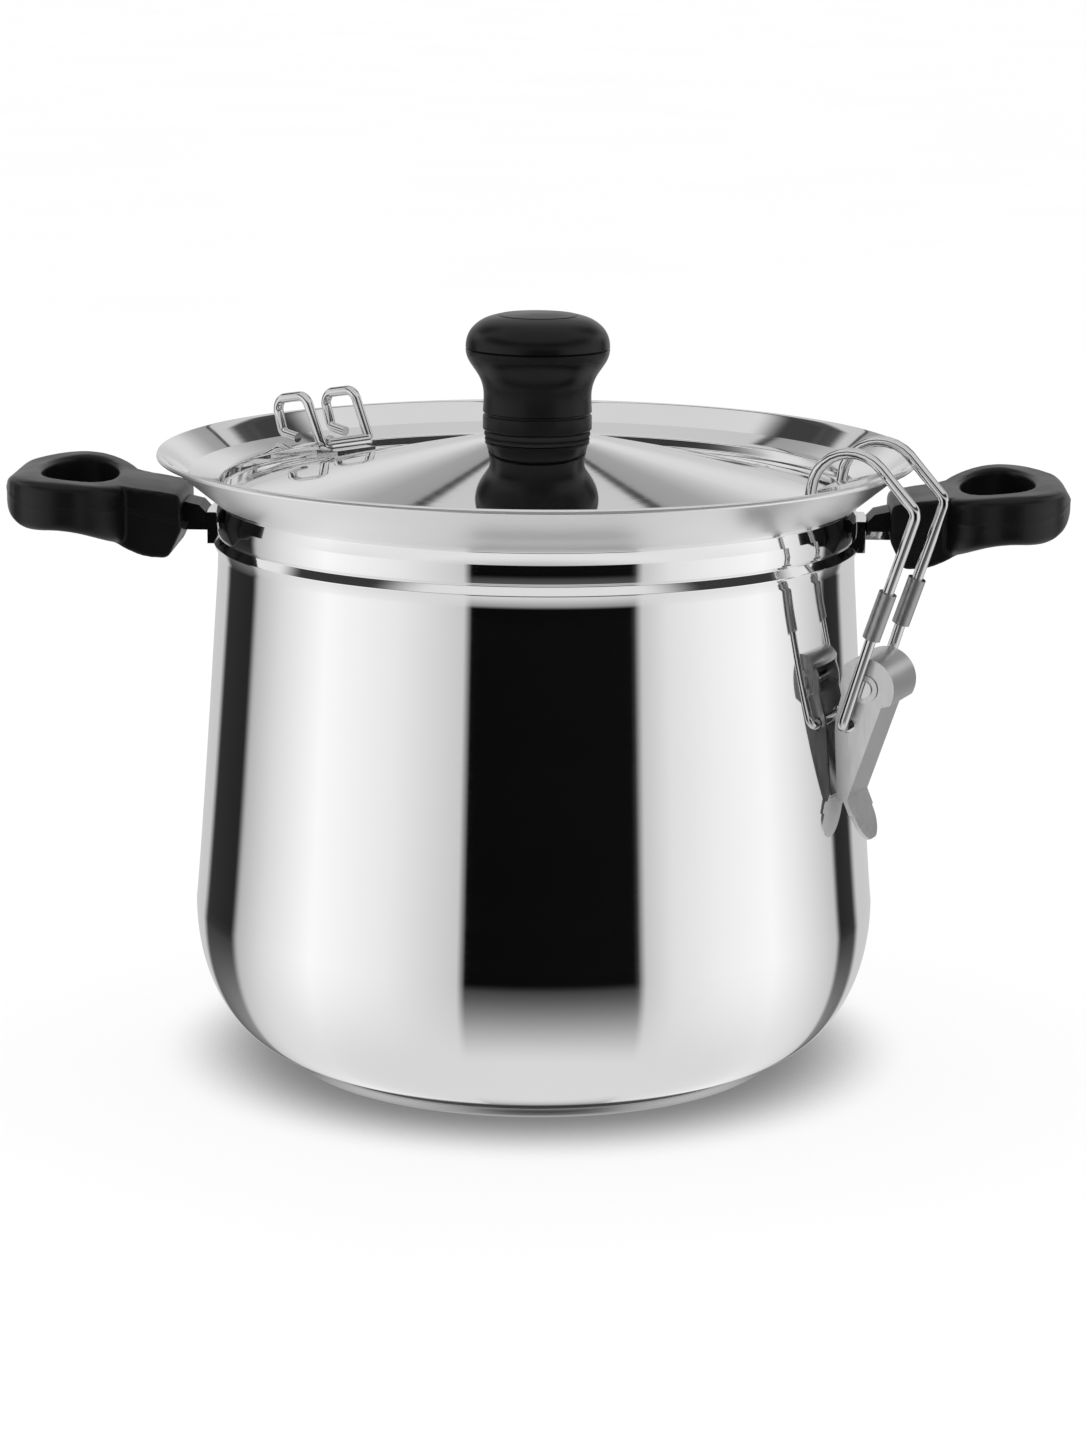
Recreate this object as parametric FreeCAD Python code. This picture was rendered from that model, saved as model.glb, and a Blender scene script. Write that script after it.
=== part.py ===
"""Stovetop pressure cooker: one STEP file per separate piece. Millimetres, +Z up, the base on z = 0, the side
handles along +X and -X, the lid clamp at CLAMP_AZ and the parked rear hook at HOOK_AZ."""
import FreeCAD, Part
import math
import os

V = FreeCAD.Vector
AXIS = V(0, 0, 1)
os.makedirs("parts", exist_ok=True)

# --- pot ---
WALL = 1.0
BASE_Z = 5.0            # underside of the drawn shell
BASE_R = 85.3
BELLY_R = 120.0
BELLY_Z = 56.0
SIDE_TOP_Z = 172.0
NECK = ((111.2, 180.5), (112.9, 184.1), (111.3, 187.1), (111.95, 187.9), (112.2, 191.0), (111.95, 194.1),
        (111.4, 194.9), (111.5, 197.2), (112.3, 197.9), (112.7, 199.6))
COLLAR_END = (130.6, 214.15)
LIP = ((131.7, 213.5), (132.3, 214.1), (131.9, 215.2), (131.0, 215.6))
RIM_R = 132.3
CAP_R = 88.0
CAP_WALL = 0.8

# --- lid ---
LID_T = 0.8
FLANGE = (120.8, 208.6)
WELL_R = 110.1
FLOOR_Z = 201.8
FLOOR_R = 105.0
CROWN_R = 19.0
CROWN_Z = 220.1
STUD_R = 5.0

# --- knob ---
WASHER_R = 18.5
WASHER_TOP = 222.4
RING_TOP = 228.0
KNOB_R = 25.1
PARTING_Z = 251.0
KNOB_TOP = 262.3
DISC_R = 14.0

# --- vent and relief valve inside the knob stud ---
STUD_Z = (209.0, 238.0)
SEAT_Z = 214.0
SEAT_R = 2.0
VALVE_R = 3.4
POPPET_FIT = 0.05
SPRING_Z = (217.2, 232.0)

# --- side handles ---
BLOCK_X = 122.8
BLOCK_HALF = (18.5, 21.0)
LOOP_X = 162.0
LOOP_SEMI = (23.5, 40.0)
HOLE_X = 160.4
HOLE_SEMI = (12.6, 28.5)
STRAP_Z = (186.5, 189.5)
STRAP_HALF = 7.0
SCREW_X = 133.0

# --- lid clamp, in the radial plane at CLAMP_AZ ---
CLAMP_AZ = -21.0
WIRE_R = 1.9
WIRE_T = 15.5
BAIL_PIVOT = (106.5, 206.5)
LEVER_PIVOT = (119.7, 130.4)
RIVET = (126.2, 143.8)
SLEEVE_TOP = (135.0, 178.0)
SLEEVE_LOW = (129.5, 162.0)
SLEEVE_R = 3.1
SHEET = 1.2
LEVER_HALF = 10.6
HEAD_R = 9.0
SADDLE_GAP = 0.4

# --- rear hook, in the radial plane at HOOK_AZ ---
HOOK_AZ = 139.0
HOOK_R = 1.8
HOOK_T = 12.0
HOOK_PIVOT = (96.5, 207.0)
HINGE_FIT = 0.06


def save(name, shape):
    shape.exportStep("parts/" + name + ".step")


def rz(point, t=0.0):
    """A (radius, height) pair as a point, t to its side."""
    return V(point[0], t, point[1])


def line(a, b):
    return Part.LineSegment(a, b).toShape()


def straight(points):
    """Straight edges from each point to the next."""
    return [line(a, b) for a, b in zip(points, points[1:])]


def curved(points):
    """Arcs that each take in three points, the last of one being the first of the next."""
    return [arc(a, b, c) for a, b, c in zip(points[::2], points[1::2], points[2::2])]


def spline(points):
    curve = Part.BSplineCurve()
    curve.interpolate(points)
    return curve.toShape()


def arc(a, middle, b):
    return Part.Arc(a, middle, b).toShape()


def bent(points, radii):
    """Straight runs joined by bends, of one radius or of one for each corner."""
    edges = []
    start = points[0]
    radii = radii if isinstance(radii, list) else [radii] * (len(points) - 2)
    for before, corner, after, radius in zip(points, points[1:], points[2:], radii):
        u = (corner - before).normalize()
        w = (after - corner).normalize()
        turn = u.getAngle(w)
        run = radius * math.tan(turn / 2)
        a = corner - u * run
        b = corner + w * run
        inward = (w - u).normalize()
        middle = corner + inward * (radius / math.cos(turn / 2) - radius)
        edges += [line(start, a), arc(a, middle, b)]
        start = b
    edges.append(line(start, points[-1]))
    return edges


def lathe(edges):
    return Part.Face(Part.Wire(edges)).revolve(V(0, 0, 0), AXIS, 360)


def turned(points):
    """A solid of revolution from a closed outline of (radius, height) corners."""
    corners = [rz(p) for p in points]
    return lathe([line(a, b) for a, b in zip(corners, corners[1:] + corners[:1])])


def tube(outer, inner, low, high):
    return turned([(inner, low), (outer, low), (outer, high), (inner, high)])


def prism(points, half, t=0.0):
    """An outline in the radial plane, drawn out to both sides of t."""
    corners = [rz(p, t - half) for p in points]
    face = Part.Face(Part.Wire([line(a, b) for a, b in zip(corners, corners[1:] + corners[:1])]))
    return face.extrude(V(0, 2 * half, 0))


def pin(point, radius, low, high):
    """A round bar across the radial plane."""
    return Part.makeCylinder(radius, high - low, rz(point, low), V(0, 1, 0))


def pipe(edges, radius):
    """Round wire along a path of edges."""
    path = Part.Wire(edges)
    start = edges[0].valueAt(edges[0].FirstParameter)
    along = edges[0].tangentAt(edges[0].FirstParameter)
    ring = Part.Wire(Part.Circle(start, along, radius).toShape())
    return path.makePipeShell([ring], True, False)


def at_azimuth(shape, degrees):
    turned_shape = shape.copy()
    turned_shape.rotate(V(0, 0, 0), AXIS, degrees)
    return turned_shape


# ---------------------------------------------------------------- pot

def side_points():
    """The shell's outside from the edge of its flat base, round the belly and up the side."""
    points = []
    for step in range(0, 10):
        a = math.radians(10 * step)
        r = BASE_R + (BELLY_R - BASE_R) * math.sin(a) ** 0.95
        z = BELLY_Z - (BELLY_Z - BASE_Z) * math.cos(a) ** 0.95
        points.append(V(r, 0, z))
    for step in range(1, 11):
        s = step / 10
        points.append(V(BELLY_R - 8.46 * s ** 0.9, 0, BELLY_Z + s * (SIDE_TOP_Z - BELLY_Z)))
    points.append(rz(NECK[0]))
    return points


def inset(points, depth):
    """The same curve moved in by the wall."""
    moved = []
    for i, p in enumerate(points):
        along = points[min(i + 1, len(points) - 1)] - points[max(i - 1, 0)]
        inward = V(-along.z, 0, along.x).normalize()
        moved.append(p + inward * depth)
    return moved


def collar_step():
    """From the collar's outer face to its inner face."""
    run = COLLAR_END[0] - NECK[-1][0]
    rise = COLLAR_END[1] - NECK[-1][1]
    return V(-rise, 0, run).normalize() * WALL


def outside_edges():
    """The outside of the shell from the axis, past the rolled beads of the neck, to the top of the collar."""
    side = side_points()
    neck = [rz(p) for p in NECK] + [rz(COLLAR_END)]
    return [line(V(0, 0, BASE_Z), side[0])] + curved(side) + straight(neck)


def pot_body():
    inner = inset(side_points(), WALL)
    inner[0] = V(inner[0].x, 0, BASE_Z + WALL)
    inner[-1] = V(NECK[0][0] - WALL, 0, NECK[0][1])
    inner_end = rz(COLLAR_END) + collar_step()
    inner_neck = [V(r - WALL, 0, z) for r, z in NECK] + [inner_end]
    lip = [rz(COLLAR_END)] + [rz(p) for p in LIP] + [inner_end]
    edges = outside_edges() + straight(lip) + straight(inner_neck) + curved(inner)
    edges += straight([inner[0], V(0, 0, BASE_Z + WALL), V(0, 0, BASE_Z)])
    return lathe(Part.sortEdges(edges)[0])


def pot_filled():
    """The shell without its hollow, to trim what is welded on."""
    edges = outside_edges()
    edges.append(line(rz(COLLAR_END), V(0, 0, COLLAR_END[1])))
    edges.append(line(V(0, 0, COLLAR_END[1]), V(0, 0, BASE_Z)))
    return lathe(Part.sortEdges(edges)[0])


def base_core():
    r = CAP_R - CAP_WALL
    return turned([(0, CAP_WALL), (r - 1, CAP_WALL), (r, CAP_WALL + 1), (r, 3.4), (r - 2.2, BASE_Z), (0, BASE_Z)])


def base_cap():
    r = CAP_R
    inside = r - CAP_WALL
    outline = [(0, 0), (r - 1.5, 0), (r - 0.4, 0.5), (r, 1.6), (r, 3.4), (inside, 3.4)]
    return turned(outline + [(inside, CAP_WALL + 1), (inside - 1, CAP_WALL), (0, CAP_WALL)])


# ---------------------------------------------------------------- side handles

def handle_side_face():
    """The handle seen from the side: blocky at the pot, waisted under the loop."""
    low = [(134, 178.6), (141, 181.0), (148, 185.2), (155, 188.8), (163, 190.4), (172, 190.0), (179, 191.2)]
    nose = [(179, 191.2), (183.6, 194.4), (185.5, 199.4), (184.0, 204.2), (179.0, 206.8)]
    top = [(179.0, 206.8), (170, 207.2), (160, 206.9), (151, 205.4), (142, 203.4), (132, 201.8)]
    foot = rz((BLOCK_X + 4.6, 178.0), -60)
    knee = rz((BLOCK_X, 187.6), -60)
    head = rz((BLOCK_X, 200.2), -60)
    lower = [rz(p, -60) for p in low]
    upper = [rz(p, -60) for p in top]
    edges = [line(foot, lower[0]), spline(lower), spline([rz(p, -60) for p in nose])]
    edges += [spline(upper), line(upper[-1], head), line(head, knee), line(knee, foot)]
    return Part.Face(Part.Wire(edges))


def handle_plan():
    """The handle seen from above: a block that opens into a wide loop."""
    a, b = LOOP_SEMI
    loop = Part.Ellipse(V(LOOP_X, 0, 170), b, a)
    loop.rotate(FreeCAD.Placement(V(LOOP_X, 0, 170), AXIS, 90))
    loop_solid = Part.Face(Part.Wire(loop.toShape())).extrude(V(0, 0, 50))
    near, far = BLOCK_HALF
    corners = [(BLOCK_X, -near), (LOOP_X - 8, -far), (LOOP_X - 8, far), (BLOCK_X, near)]
    points = [V(x, y, 170) for x, y in corners]
    block = Part.Face(Part.makePolygon(points + points[:1])).extrude(V(0, 0, 50))
    return loop_solid.fuse(block).removeSplitter()


def finger_hole():
    a, b = HOLE_SEMI
    hole = Part.Ellipse(V(HOLE_X, 0, 170), b, a)
    hole.rotate(FreeCAD.Placement(V(HOLE_X, 0, 170), AXIS, 90))
    return Part.Face(Part.Wire(hole.toShape())).extrude(V(0, 0, 50))


def handle_blank():
    return handle_side_face().extrude(V(0, 120, 0)).common(handle_plan())


def rounded_handle():
    """The blank with its long edges eased, then the finger hole with eased lips."""
    blank = handle_blank()
    long_edges = [e for e in blank.Edges if e.Length > 12 and not upright(e)]
    body = blank.makeFillet(3.0, long_edges)
    ring = body.cut(finger_hole())
    lips = [e for e in ring.Edges if on_hole(e)]
    return ring.makeFillet(1.6, lips)


def upright(edge):
    low, high = edge.BoundBox.ZMin, edge.BoundBox.ZMax
    return high - low > 0.8 * edge.Length


def on_hole(edge):
    a, b = HOLE_SEMI
    box = edge.BoundBox
    inside = box.XMin > HOLE_X - a - 0.5 and box.XMax < HOLE_X + a + 0.5
    return inside and box.YMax < b + 0.5 and box.YMin > -b - 0.5 and not upright(edge)


def strap():
    low, high = STRAP_Z
    return Part.makeBox(30.0, 2 * STRAP_HALF, high - low, V(111.0, -STRAP_HALF, low))


def screw():
    shank = Part.makeCylinder(2.5, 11.0, V(SCREW_X, 0, 183.4), AXIS)
    head = Part.makeCylinder(4.2, 2.4, V(SCREW_X, 0, 182.0), AXIS)
    slot = Part.makeBox(9.0, 1.2, 1.0, V(SCREW_X - 4.5, -0.6, 181.9))
    return shank.fuse(head).cut(slot).removeSplitter()


def screw_room():
    shank = Part.makeCylinder(2.5, 11.0, V(SCREW_X, 0, 183.4), AXIS)
    head = Part.makeCylinder(4.2, 14.4, V(SCREW_X, 0, 170.0), AXIS)
    return shank.fuse(head)


def side_handle():
    return rounded_handle().cut(strap()).cut(screw_room())


def handle_bracket(filled):
    pad = tube(115.0, 105.0, 182.4, 193.4)
    window = Part.makeBox(30.0, 22.0, 20.0, V(100.0, -11.0, 180.0))
    plate = pad.common(window).fuse(strap()).cut(filled)
    return plate.cut(Part.makeCylinder(2.5, 20.0, V(SCREW_X, 0, 180.0), AXIS)).removeSplitter()


def handle_ferrule():
    outline = [(115.0, STRAP_Z[1]), (BLOCK_X, STRAP_Z[1]), (BLOCK_X, 196.6), (117.6, 195.4), (115.0, 192.6)]
    return prism(outline, 8.2)


# ---------------------------------------------------------------- lid

def lid_top_points():
    points = [FLANGE, (112.4, 206.3), (WELL_R, 205.6), (WELL_R, FLOOR_Z), (FLOOR_R, FLOOR_Z)]
    return [rz(p) for p in points]


def lid_under_points():
    t = LID_T
    points = [(FLANGE[0] + 0.1, FLANGE[1] - t), (112.6, 205.5), (WELL_R + t, 204.9), (WELL_R + t, FLOOR_Z - t)]
    return [rz(p) for p in points + [(FLOOR_R, FLOOR_Z - t)]]


def lid():
    top = lid_top_points()
    under = lid_under_points()
    crown = rz((CROWN_R, CROWN_Z))
    crown_under = rz((CROWN_R, CROWN_Z - LID_T))
    bore = rz((STUD_R, CROWN_Z))
    bore_under = rz((STUD_R, CROWN_Z - LID_T))
    edges = bent(top + [crown], 0.8) + [line(crown, bore), line(bore, bore_under)]
    edges += [line(bore_under, crown_under)] + bent([crown_under] + under[::-1], 0.9)
    edges.append(line(under[0], top[0]))
    return lathe(edges)


def below_lid():
    """All that lies under the lid's upper face, to seat what is welded on the cone."""
    floor = [(WELL_R, 190), (WELL_R, FLOOR_Z), (FLOOR_R, FLOOR_Z)]
    return turned([(0, 190)] + floor + [(CROWN_R, CROWN_Z), (0, CROWN_Z)])


def lid_gasket():
    return turned([(111.1, 204.3), (111.1, 202.4), (112.2, 202.0), (114.3, 202.8), (118.6, 206.2), (112.7, 205.2)])


def front_lug():
    """A block on the lid's floor that carries the bail, with a short tongue up over the flange."""
    r, z = BAIL_PIVOT
    block = prism([(r - 3.1, 200), (r + 2.5, 200), (r + 2.5, z), (r - 3.1, z)], 12.0)
    barrel = pin(BAIL_PIVOT, 3.1, -12.0, 12.0)
    tongue = prism([(r, z + 1.9), (r + 4, z + 1.5), (r + 18, z + 7.2), (r + 18, z + 8.6), (r, z + 3.1)], 9.0)
    slots = [Part.makeBox(4.0, 2.4, 12.0, V(r + 10.0, t - 1.2, z)) for t in (-4.0, 4.0)]
    body = block.fuse([barrel, tongue]).cut(slots).cut(below_lid())
    return body.cut(pin(BAIL_PIVOT, WIRE_R + HINGE_FIT, -20, 20)).removeSplitter()


def rear_lug():
    r, z = HOOK_PIVOT
    foot = prism([(r - 5.5, 200), (r + 5.5, 200), (r + 5.5, z - 1.6), (r - 5.5, z - 1.0)], 15.0)
    block = prism([(r - 3.0, 200), (r + 3.0, 200), (r + 3.0, z), (r - 3.0, z)], 9.6)
    body = foot.fuse([block, pin(HOOK_PIVOT, 3.0, -9.6, 9.6)])
    body = body.cut(prism([(r - 9, z - 3.2), (r + 9, z - 3.2), (r + 9, z + 9), (r - 9, z + 9)], 3.2, HOOK_T + 0.8))
    body = body.cut(prism([(r - 9, z - 3.2), (r + 9, z - 3.2), (r + 9, z + 9), (r - 9, z + 9)], 3.2, -HOOK_T - 0.8))
    body = body.cut(below_lid())
    return body.cut(pin(HOOK_PIVOT, HOOK_R + HINGE_FIT, -20, 20)).removeSplitter()


def rear_hook():
    """One wire: a bar through the lug, with a rounded loop at each end."""
    side = [(105.2, 225.2), (121.2, 222.4), (117.2, 210.4), (109.4, 209.3)]
    left = [rz(p, -HOOK_T) for p in side]
    right = [rz(p, HOOK_T) for p in side]
    path = left[::-1] + [rz(HOOK_PIVOT, -HOOK_T), rz(HOOK_PIVOT, HOOK_T)] + right
    return pipe(bent(path, [2.6, 4.4, 4.4, 2.2, 2.2, 4.4, 4.4, 2.6]), HOOK_R)


# ---------------------------------------------------------------- knob and valve

def knob_washer():
    return turned([(STUD_R, CROWN_Z), (WASHER_R - 0.6, CROWN_Z), (WASHER_R, CROWN_Z + 0.8),
                   (WASHER_R, WASHER_TOP - 0.8), (WASHER_R - 0.6, WASHER_TOP), (STUD_R, WASHER_TOP)])


def knob_ring():
    return turned([(STUD_R, WASHER_TOP), (18.4, WASHER_TOP), (19.0, WASHER_TOP + 0.6),
                   (19.0, RING_TOP - 0.5), (18.5, RING_TOP), (STUD_R, RING_TOP)])


def knob_grip():
    side = [(19.0, 229.0), (18.8, 232.5), (18.9, 236.5), (20.3, 241.0), (22.9, 245.0), (24.7, 248.4), (KNOB_R, 250.6)]
    points = [rz(p) for p in side]
    z = RING_TOP
    chamber = [(9.0, z), (9.0, z + 3.0), (STUD_R, z + 3.0), (STUD_R, 241.0), (0, 241.0), (0, PARTING_Z)]
    rest = [rz(p) for p in chamber] + [V(KNOB_R - 0.5, 0, PARTING_Z), points[-1]]
    edges = [line(V(18.2, 0, z), V(18.2, 0, z + 0.6)), line(V(18.2, 0, z + 0.6), points[0]), spline(points)]
    edges += [line(a, b) for a, b in zip(rest, rest[1:])] + [line(V(18.2, 0, z), rest[0])]
    body = lathe(Part.sortEdges(edges)[0])
    vents = [Part.makeBox(30.0, 3.0, 0.6, V(0, -1.5, z)) for _ in range(4)]
    for number, vent in enumerate(vents):
        body = body.cut(at_azimuth(vent, 45 + 90 * number))
    return body


def knob_cap():
    side = [(KNOB_R, 251.4), (24.9, 253.4), (23.9, 256.4), (21.4, 259.3), (18.0, 261.3), (14.6, KNOB_TOP)]
    points = [rz(p) for p in side]
    recess = KNOB_TOP - 1.6
    inner = [rz(p) for p in [(14.6, KNOB_TOP), (DISC_R, KNOB_TOP), (DISC_R, recess), (0, recess), (0, PARTING_Z)]]
    inner += [V(KNOB_R - 0.5, 0, PARTING_Z), points[0]]
    edges = [spline(points)] + [line(a, b) for a, b in zip(inner, inner[1:])]
    return lathe(Part.sortEdges(edges)[0])


def knob_top_disc():
    z = KNOB_TOP - 1.6
    return turned([(0, z), (DISC_R, z), (DISC_R, z + 1.5), (DISC_R - 0.6, z + 2.0), (0, z + 2.2)])


def vent_stud():
    """A hollow stud: a narrow inlet, the valve seat, and side ports into the knob's chamber."""
    low, high = STUD_Z
    outline = [(SEAT_R, low), (STUD_R - 0.6, low), (STUD_R, low + 0.6), (STUD_R, high - 0.6), (STUD_R - 0.6, high)]
    body = turned(outline + [(VALVE_R, high), (VALVE_R, SEAT_Z), (SEAT_R, SEAT_Z)])
    port = Part.makeCylinder(0.9, 12.0, V(-6.0, 0, 229.5), V(1, 0, 0))
    return body.cut(port)


def stud_seal():
    top = CROWN_Z - LID_T
    return tube(11.0, STUD_R, top - 1.5, top)


def stud_nut():
    low = CROWN_Z - LID_T - 6.5
    corners = [V(9.2 * math.cos(math.radians(60 * k)), 9.2 * math.sin(math.radians(60 * k)), low) for k in range(6)]
    nut = Part.Face(Part.makePolygon(corners + corners[:1])).extrude(V(0, 0, 5.0))
    return nut.cut(Part.makeCylinder(STUD_R, 10.0, V(0, 0, low - 1), AXIS))


def valve_poppet():
    r = VALVE_R - POPPET_FIT
    z = SEAT_Z + 0.02
    return turned([(0, z), (r, z), (r, z + 3.0), (1.4, z + 3.0), (1.4, z + 10.0), (0, z + 10.0)])


def valve_spring():
    low, high = SPRING_Z
    radius, wire = 2.4, 0.35
    coil = Part.makeHelix(2.4, high - low - 2 * wire - 0.1, radius)
    ring = Part.Wire(Part.Circle(V(radius, 0, 0), V(0, 1, 0), wire).toShape())
    spring = Part.Wire(coil).makePipeShell([ring], True, True)
    spring.translate(V(0, 0, low + wire + 0.05))
    return spring


def spring_retainer():
    return tube(VALVE_R, 1.0, SPRING_Z[1], STUD_Z[1])


# ---------------------------------------------------------------- lid clamp

def sleeve_middle():
    return ((SLEEVE_TOP[0] + SLEEVE_LOW[0]) / 2, (SLEEVE_TOP[1] + SLEEVE_LOW[1]) / 2)


def bail_wire():
    """One wire: a bar through the lug, up and over the rim, and down to the sleeves."""
    side = [(110.8, 242.2), (144.3, 205.5), SLEEVE_TOP, sleeve_middle()]
    left = [rz(p, -WIRE_T) for p in side]
    right = [rz(p, WIRE_T) for p in side]
    path = left[::-1] + [rz(BAIL_PIVOT, -WIRE_T), rz(BAIL_PIVOT, WIRE_T)] + right
    bends = [3.0, 4.5, 14.0, 3.2]
    return pipe(bent(path, bends + bends[::-1]), WIRE_R)


def draw_wire():
    """The lower wire: two legs from the sleeves, joined by the bar that carries the lever."""
    side = [SLEEVE_LOW, LEVER_PIVOT]
    left = [rz(p, -WIRE_T) for p in side]
    right = [rz(p, WIRE_T) for p in side]
    path = [rz(sleeve_middle(), -WIRE_T)] + left + right[::-1] + [rz(sleeve_middle(), WIRE_T)]
    return pipe(bent(path, 3.2), WIRE_R)


def bail_sleeves():
    top, low = rz(SLEEVE_TOP), rz(SLEEVE_LOW)
    length = (top - low).Length
    sleeves = []
    for t in (-WIRE_T, WIRE_T):
        foot = rz(SLEEVE_LOW, t)
        sleeve = Part.makeCylinder(SLEEVE_R, length, foot, top - low)
        sleeves.append(sleeve)
    return Part.makeCompound(sleeves)


def head_outline():
    """The lever's cheek: a round head about the rivet and a blade that narrows to the tab."""
    points = []
    for degrees in range(-20, 201, 10):
        a = math.radians(degrees)
        points.append((RIVET[0] + HEAD_R * math.cos(a), RIVET[1] + HEAD_R * math.sin(a)))
    points += [(115.9, 133.0), (115.7, 128.0), (117.0, 105.5), (118.2, 103.4), (120.4, 103.4), (131.9, 137.2)]
    return points


def lever_tab():
    """The thumb tab: a rounded tongue bent out below the web."""
    blade = prism([(119.0, 104.6), (120.6, 104.6), (127.0, 89.6), (125.8, 89.0)], LEVER_HALF)
    along = V(6.0, 0, -15.0).normalize()
    across = V(-along.z, 0, along.x)
    centre = V(126.2, 0, 89.4) - along * 9.0 - across * 10.0
    end = Part.makeCylinder(9.4, 20.0, centre, across)
    straight = prism([(110.0, 99.0), (135.0, 99.0), (135.0, 106.0), (110.0, 106.0)], LEVER_HALF)
    return blade.common(end.fuse(straight))


def clamp_lever():
    outline = head_outline()
    cheeks = [prism(outline, SHEET / 2, t) for t in (-LEVER_HALF + SHEET / 2, LEVER_HALF - SHEET / 2)]
    web = prism([(131.9, 137.2), (120.4, 103.4), (119.2, 103.8), (130.7, 137.6)], LEVER_HALF)
    body = cheeks[0].fuse([cheeks[1], web, lever_tab()])
    hole = pin((LEVER_PIVOT[0] + 0.35, LEVER_PIVOT[1]), WIRE_R + 0.7, -20, 20)
    return body.cut([hole, pin(RIVET, 2.0, -20, 20)]).removeSplitter()


def lever_saddle():
    """A U-shaped cap over the lever's head, hung on the rivet."""
    inner = HEAD_R + SADDLE_GAP
    outer = inner + SHEET
    half = LEVER_HALF + 0.1 + SHEET
    drum = pin(RIVET, outer, -half, half)
    hollow = pin(RIVET, inner, -LEVER_HALF - 0.1, LEVER_HALF + 0.1)
    r, z = RIVET
    keep = prism([(r - 9.4, z + 14), (r + 14, z + 14), (r + 14, z - 3.8), (r + 4, z - 6.6), (r - 5.6, z - 2.6)], half + 1)
    body = drum.cut(hollow).common(keep)
    return body.cut(pin(RIVET, 2.0 + HINGE_FIT, -20, 20))


def lever_rivet():
    half = LEVER_HALF + 0.2 + SHEET + 0.6
    shank = pin(RIVET, 2.0, -half, half)
    heads = [pin(RIVET, 2.9, half, half + 0.7), pin(RIVET, 2.9, -half - 0.7, -half)]
    return shank.fuse(heads).removeSplitter()


def rivet_washers():
    near = LEVER_HALF + 0.2 + SHEET
    hole = pin(RIVET, 2.0, -20, 20)
    washers = [pin(RIVET, 4.8, low, low + 0.6).cut(hole) for low in (near, -near - 0.6)]
    return Part.makeCompound(washers)


# ---------------------------------------------------------------- all pieces

def build_pot():
    filled = pot_filled()
    save("pot_body", pot_body())
    save("base_core", base_core())
    save("base_cap", base_cap())
    handle = side_handle()
    bracket = handle_bracket(filled)
    ferrule = handle_ferrule()
    for side, azimuth in (("right", 0), ("left", 180)):
        save(side + "_handle", at_azimuth(handle, azimuth))
        save(side + "_handle_bracket", at_azimuth(bracket, azimuth))
        save(side + "_handle_ferrule", at_azimuth(ferrule, azimuth))
    save("handle_screws", Part.makeCompound([at_azimuth(screw(), 0), at_azimuth(screw(), 180)]))


def build_lid():
    save("lid", lid())
    save("lid_gasket", lid_gasket())
    save("front_lug", at_azimuth(front_lug(), CLAMP_AZ))
    save("rear_lug", at_azimuth(rear_lug(), HOOK_AZ))
    save("rear_hook", at_azimuth(rear_hook(), HOOK_AZ))
    save("knob_washer", knob_washer())
    save("knob_ring", knob_ring())
    save("knob_grip", knob_grip())
    save("knob_cap", knob_cap())
    save("knob_top_disc", knob_top_disc())
    save("vent_stud", vent_stud())
    save("stud_seal", stud_seal())
    save("stud_nut", stud_nut())
    save("valve_poppet", valve_poppet())
    save("valve_spring", valve_spring())
    save("spring_retainer", spring_retainer())


def build_clamp():
    bail = bail_wire()
    draw = draw_wire()
    save("bail_wire", at_azimuth(bail, CLAMP_AZ))
    save("draw_wire", at_azimuth(draw, CLAMP_AZ))
    save("bail_sleeves", at_azimuth(bail_sleeves().cut(bail).cut(draw), CLAMP_AZ))
    save("clamp_lever", at_azimuth(clamp_lever(), CLAMP_AZ))
    save("lever_saddle", at_azimuth(lever_saddle(), CLAMP_AZ))
    save("lever_rivet", at_azimuth(lever_rivet(), CLAMP_AZ))
    save("rivet_washers", at_azimuth(rivet_washers(), CLAMP_AZ))


build_pot()
build_lid()
build_clamp()
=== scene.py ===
"""Looks of the stovetop pressure cooker: denser polished shells, round wires and moulded handles laid over
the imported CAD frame. Outlines are in millimetres, as (radius, height); objects are in metres."""
import math

import bpy
import numpy as np
from mathutils import Euler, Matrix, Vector


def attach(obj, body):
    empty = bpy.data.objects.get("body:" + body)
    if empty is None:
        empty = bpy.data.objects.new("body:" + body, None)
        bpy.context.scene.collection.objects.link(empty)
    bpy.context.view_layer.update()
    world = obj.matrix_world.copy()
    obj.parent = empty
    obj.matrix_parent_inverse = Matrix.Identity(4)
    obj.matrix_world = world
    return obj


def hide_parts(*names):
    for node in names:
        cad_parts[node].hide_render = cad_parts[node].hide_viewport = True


MM = 0.001
TURNS = 288

# --- the same driving sizes as the CAD part ---
WALL = 1.0
BASE_Z, BASE_R = 5.0, 85.3
CAP_R, CAP_WALL = 88.0, 0.8
BELLY_R, BELLY_Z, SIDE_TOP_Z = 120.0, 56.0, 172.0
SIDE_DRAW_IN = 8.46
NECK = ((111.2, 180.5), (112.9, 184.1), (111.3, 187.1), (111.95, 187.9), (112.2, 191.0), (111.95, 194.1),
        (110.9, 198.1))
NECK_BENDS = [0.5, 0.4, 0.4, 18.0, 0.6, 0.4]
COLLAR_END = (130.6, 214.15)
COLLAR_LEAN = 1.2275
COLLAR_HAZE = 0.24
LIP = ((131.7, 213.5), (132.3, 214.1), (131.9, 215.2), (131.0, 215.6))
LID_T = 0.8
FLANGE = (120.8, 208.6)
CROWN_Z = 220.1
CROWN_R = 19.0
STUD_R = 5.0
WASHER_TOP, RING_TOP, PARTING_Z, KNOB_TOP = 222.4, 228.0, 251.0, 262.3
KNOB_R, DISC_R = 25.1, 14.0
CLAMP_AZ, HOOK_AZ = -21.0, 139.0
WIRE_R, WIRE_T = 1.9, 15.5
BAIL_PIVOT, LEVER_PIVOT = (106.5, 206.5), (119.7, 130.4)
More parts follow.
